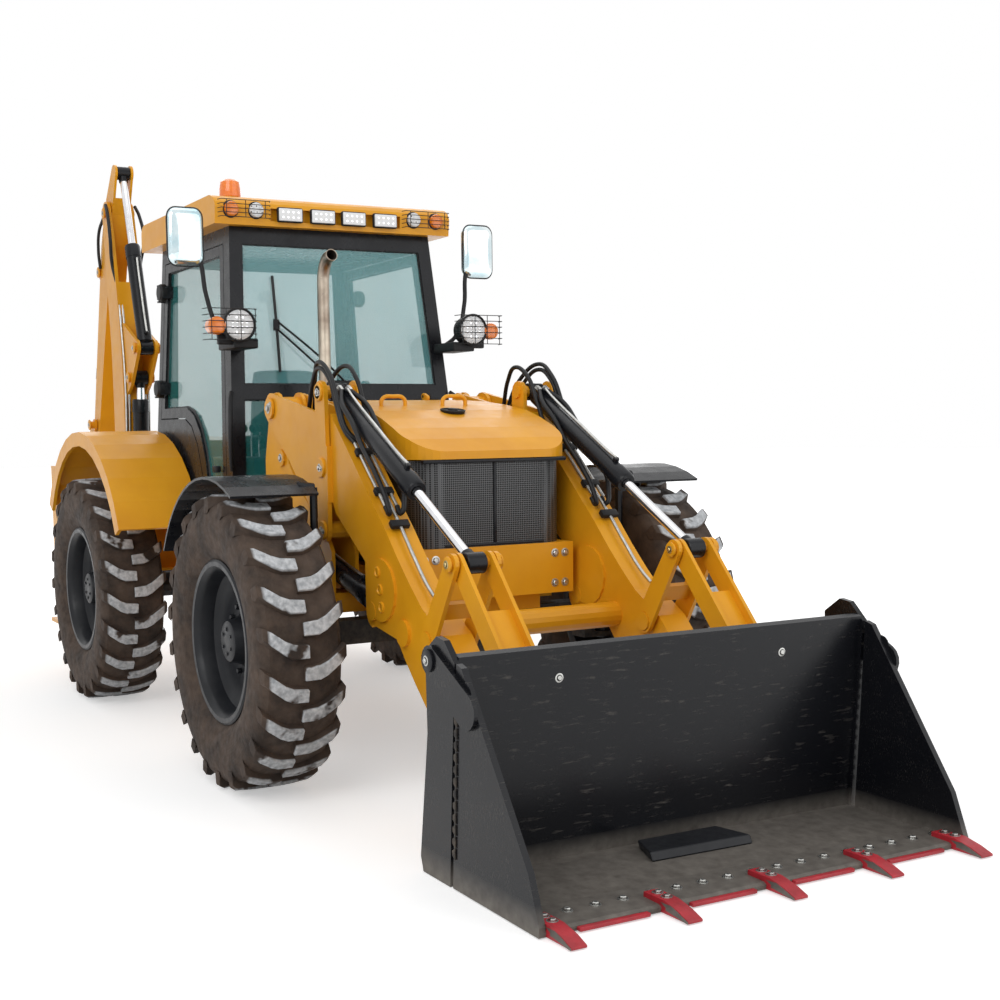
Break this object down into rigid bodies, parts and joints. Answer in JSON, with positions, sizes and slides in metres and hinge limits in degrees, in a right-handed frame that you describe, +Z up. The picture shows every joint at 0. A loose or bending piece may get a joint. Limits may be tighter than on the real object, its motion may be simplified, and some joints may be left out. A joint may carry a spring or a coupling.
{
  "type": "backhoe loader",
  "caption": "Backhoe loader: cab over equal-size wheels, lift arms with a two-part front bucket, folded rear digging arm on a side-shift carriage, drop-down stabilizer legs",
  "frame": {"origin": "middle of the whole machine's footprint, on the ground", "axes": "+X is the driving direction, towards the front bucket; +Y is the machine's left; +Z is up"},
  "size_m": [7.9468, 2.66, 3.7393],
  "materials": {
    "paint_yellow": "semi-gloss enamel",
    "paint_black": "semi-gloss enamel",
    "tyre_rubber": "matte rubber",
    "bright_steel": "polished",
    "cast_metal": "painted casting",
    "black_plastic": "moulded",
    "seat_cloth": "woven"
  },
  "bodies": {
    "base": {"chassis": "paint_yellow", "front_axle": "cast_metal", "rear_axle": "cast_metal", "engine": "cast_metal", "grille": "paint_black", "exhaust": "bright_steel", "cab_frame": "paint_black", "roof": "paint_yellow", "seat": "seat_cloth", "rear_frame": "paint_yellow", "lamp_mirror_left": "black_plastic", "lamp_mirror_right": "black_plastic", "side_tank_left": "paint_yellow", "side_tank_right": "paint_yellow", "rear_fender_left": "paint_yellow", "rear_fender_right": "paint_yellow"},
    "bonnet": {"bonnet": "paint_yellow"},
    "arms": {"loader_arms": "paint_yellow"},
    "lift_barrels": {"lift_barrel_left": "paint_black", "lift_barrel_right": "paint_black"},
    "lift_rods": {"lift_rod_left": "bright_steel", "lift_rod_right": "bright_steel"},
    "tilt_barrels": {"tilt_barrel_left": "paint_black", "tilt_barrel_right": "paint_black"},
    "tilt_rods": {"tilt_rod_left": "bright_steel", "tilt_rod_right": "bright_steel"},
    "levers": {"lever_left": "paint_yellow", "lever_right": "paint_yellow"},
    "bucket_links": {"bucket_link_left": "paint_yellow", "bucket_link_right": "paint_yellow"},
    "bucket": {"bucket_back": "paint_black"},
    "clam": {"bucket_clam": "paint_black"},
    "carriage": {"carriage": "paint_yellow"},
    "kingpost": {"kingpost": "paint_yellow"},
    "boom": {"boom": "paint_yellow"},
    "dipper": {"dipper": "paint_yellow"},
    "hoe_bucket": {"hoe_bucket": "paint_yellow"},
    "hoe_lever": {"hoe_lever": "paint_yellow"},
    "hoe_link": {"hoe_link": "paint_yellow"},
    "boom_ram_barrel": {"boom_ram_barrel": "paint_black"},
    "boom_ram_rod": {"boom_ram_rod": "bright_steel"},
    "dipper_ram_barrel": {"dipper_ram_barrel": "paint_black"},
    "dipper_ram_rod": {"dipper_ram_rod": "bright_steel"},
    "hoe_ram_barrel": {"hoe_bucket_ram_barrel": "paint_black"},
    "hoe_ram_rod": {"hoe_bucket_ram_rod": "bright_steel"},
    "door_left": {"door_left": "paint_black"},
    "knuckle_left": {"knuckle_left": "paint_black"},
    "stabilizer_left": {"stabilizer_left": "paint_yellow"},
    "wheel_front_left": {"tyre_front_left": "tyre_rubber", "rim_front_left": "paint_black"},
    "wheel_rear_left": {"tyre_rear_left": "tyre_rubber", "rim_rear_left": "paint_black"},
    "door_right": {"door_right": "paint_black"},
    "knuckle_right": {"knuckle_right": "paint_black"},
    "stabilizer_right": {"stabilizer_right": "paint_yellow"},
    "wheel_front_right": {"tyre_front_right": "tyre_rubber", "rim_front_right": "paint_black"},
    "wheel_rear_right": {"tyre_rear_right": "tyre_rubber", "rim_rear_right": "paint_black"}
  },
  "joints": [
    {"name": "bonnet_hinge", "type": "hinge", "parent": "base", "child": "bonnet", "pos_m": [0.48336, 0, 1.905], "axis": [0, -1, 0], "range_deg": [0, 50]},
    {"name": "door_left_hinge", "type": "hinge", "parent": "base", "child": "door_left", "pos_m": [-1.25364, 0.71246, 2.31], "axis": [0, -0.0617, 0.9981], "range_deg": [0, 75]},
    {"name": "steer_left", "type": "hinge", "parent": "base", "child": "knuckle_left", "pos_m": [1.39836, 0.96, 0.715], "axis": [0, 0, 1], "range_deg": [-20, 20]},
    {"name": "wheel_front_left_spin", "type": "hinge", "parent": "knuckle_left", "child": "wheel_front_left", "pos_m": [1.39836, 1.12, 0.715], "axis": [0, 1, 0], "continuous": true},
    {"name": "wheel_rear_left_spin", "type": "hinge", "parent": "base", "child": "wheel_rear_left", "pos_m": [-1.25164, 1.12, 0.715], "axis": [0, 1, 0], "continuous": true},
    {"name": "stabilizer_left_drop", "type": "slide", "parent": "base", "child": "stabilizer_left", "axis": [0, 0, -1], "range_m": [0, 0.37]},
    {"name": "door_right_hinge", "type": "hinge", "parent": "base", "child": "door_right", "pos_m": [-1.25364, -0.71246, 2.31], "axis": [0, 0.0617, 0.9981], "range_deg": [-75, 0]},
    {"name": "steer_right", "type": "hinge", "parent": "base", "child": "knuckle_right", "pos_m": [1.39836, -0.96, 0.715], "axis": [0, 0, 1], "range_deg": [-20, 20]},
    {"name": "wheel_front_right_spin", "type": "hinge", "parent": "knuckle_right", "child": "wheel_front_right", "pos_m": [1.39836, -1.12, 0.715], "axis": [0, 1, 0], "continuous": true},
    {"name": "wheel_rear_right_spin", "type": "hinge", "parent": "base", "child": "wheel_rear_right", "pos_m": [-1.25164, -1.12, 0.715], "axis": [0, 1, 0], "continuous": true},
    {"name": "stabilizer_right_drop", "type": "slide", "parent": "base", "child": "stabilizer_right", "axis": [0, 0, -1], "range_m": [0, 0.37]},
    {"name": "loader_lift", "type": "hinge", "parent": "base", "child": "arms", "pos_m": [0.63436, 0, 1.839], "axis": [0, -1, 0], "range_deg": [0, 70]},
    {"name": "lift_barrels_turn", "type": "hinge", "parent": "base", "child": "lift_barrels", "pos_m": [0.64836, 0, 1.16], "axis": [0, -1, 0], "range_deg": [0, 64]},
    {"name": "lift_rods_out", "type": "slide", "parent": "lift_barrels", "child": "lift_rods", "axis": [0.9694, 0, -0.2455], "range_m": [0, 0.76]},
    {"name": "bucket_curl", "type": "hinge", "parent": "arms", "child": "bucket", "pos_m": [2.91836, 0, 0.275], "axis": [0, -1, 0], "range_deg": [-55, 35]},
    {"name": "levers_turn", "type": "hinge", "parent": "arms", "child": "levers", "pos_m": [2.41336, 0, 0.8], "axis": [0, -1, 0], "range_deg": [-66, 42]},
    {"name": "bucket_links_turn", "type": "hinge", "parent": "levers", "child": "bucket_links", "pos_m": [2.63336, 0, 1.155], "axis": [0, -1, 0], "range_deg": [-46, 72]},
    {"name": "tilt_barrels_turn", "type": "hinge", "parent": "arms", "child": "tilt_barrels", "pos_m": [1.28836, 0, 1.908], "axis": [0, -1, 0], "range_deg": [-6, 4]},
    {"name": "tilt_rods_out", "type": "slide", "parent": "tilt_barrels", "child": "tilt_rods", "axis": [0.8726, 0, -0.4885], "range_m": [-0.25, 0.38]},
    {"name": "clam_open", "type": "hinge", "parent": "bucket", "child": "clam", "pos_m": [3.09836, 0, 0.85], "axis": [0, -1, 0], "range_deg": [0, 60]},
    {"name": "carriage_shift", "type": "slide", "parent": "base", "child": "carriage", "axis": [0, 1, 0], "range_m": [0, 0.9]},
    {"name": "swing", "type": "hinge", "parent": "carriage", "child": "kingpost", "pos_m": [-2.60164, -0.45, 0.8], "axis": [0, 0, 1], "range_deg": [-90, 90]},
    {"name": "boom_lower", "type": "hinge", "parent": "kingpost", "child": "boom", "pos_m": [-2.87164, -0.45, 0.8], "axis": [0, -1, 0], "range_deg": [0, 95]},
    {"name": "boom_ram_turn", "type": "hinge", "parent": "kingpost", "child": "boom_ram_barrel", "pos_m": [-2.66164, -0.45, 1.13], "axis": [0, -1, 0], "range_deg": [0, 104]},
    {"name": "boom_ram_out", "type": "slide", "parent": "boom_ram_barrel", "child": "boom_ram_rod", "axis": [0.0698, 0, 0.9976], "range_m": [0, 0.64]},
    {"name": "dipper_out", "type": "hinge", "parent": "boom", "child": "dipper", "pos_m": [-3.04164, -0.45, 3.4], "axis": [0, 1, 0], "range_deg": [0, 100]},
    {"name": "dipper_ram_turn", "type": "hinge", "parent": "boom", "child": "dipper_ram_barrel", "pos_m": [-2.42164, -0.45, 2.34], "axis": [0, 1, 0], "range_deg": [-2, 2]},
    {"name": "dipper_ram_out", "type": "slide", "parent": "dipper_ram_barrel", "child": "dipper_ram_rod", "axis": [-0.3247, 0, 0.9458], "range_m": [-0.51, 0]},
    {"name": "hoe_bucket_curl", "type": "hinge", "parent": "dipper", "child": "hoe_bucket", "pos_m": [-3.75164, -0.45, 1.42], "axis": [0, 1, 0], "range_deg": [0, 100]},
    {"name": "hoe_lever_turn", "type": "hinge", "parent": "dipper", "child": "hoe_lever", "pos_m": [-3.64264, -0.45, 1.785], "axis": [0, 1, 0], "range_deg": [0, 46.5]},
    {"name": "hoe_link_turn", "type": "hinge", "parent": "hoe_lever", "child": "hoe_link", "pos_m": [-3.93164, -0.45, 1.56], "axis": [0, 1, 0], "range_deg": [-49, 0]},
    {"name": "hoe_ram_turn", "type": "hinge", "parent": "dipper", "child": "hoe_ram_barrel", "pos_m": [-3.36964, -0.45, 2.987], "axis": [0, 1, 0], "range_deg": [0, 9]},
    {"name": "hoe_ram_out", "type": "slide", "parent": "hoe_ram_barrel", "child": "hoe_ram_rod", "axis": [-0.3664, 0, -0.9304], "range_m": [-0.21, 0]}
  ],
  "couplings": [
    {"joint": "steer_right", "follows": "steer_left", "ratio": 1},
    {"joint": "lift_barrels_turn", "follows": "loader_lift", "ratio": 0.905},
    {"joint": "lift_rods_out", "follows": "loader_lift", "m_per_rad": 0.614},
    {"joint": "levers_turn", "follows": "bucket_curl", "ratio": 1.05},
    {"joint": "bucket_links_turn", "follows": "bucket_curl", "ratio": -1.2},
    {"joint": "tilt_barrels_turn", "follows": "bucket_curl", "ratio": 0.06},
    {"joint": "tilt_rods_out", "follows": "bucket_curl", "m_per_rad": -0.37},
    {"joint": "boom_ram_turn", "follows": "boom_lower", "ratio": 1.07},
    {"joint": "boom_ram_out", "follows": "boom_lower", "m_per_rad": 0.34},
    {"joint": "dipper_ram_turn", "follows": "dipper_out", "ratio": -0.01},
    {"joint": "dipper_ram_out", "follows": "dipper_out", "m_per_rad": -0.285},
    {"joint": "hoe_lever_turn", "follows": "hoe_bucket_curl", "ratio": 0.46},
    {"joint": "hoe_link_turn", "follows": "hoe_bucket_curl", "ratio": -0.48},
    {"joint": "hoe_ram_turn", "follows": "hoe_bucket_curl", "ratio": 0.08},
    {"joint": "hoe_ram_out", "follows": "hoe_bucket_curl", "m_per_rad": -0.115}
  ]
}
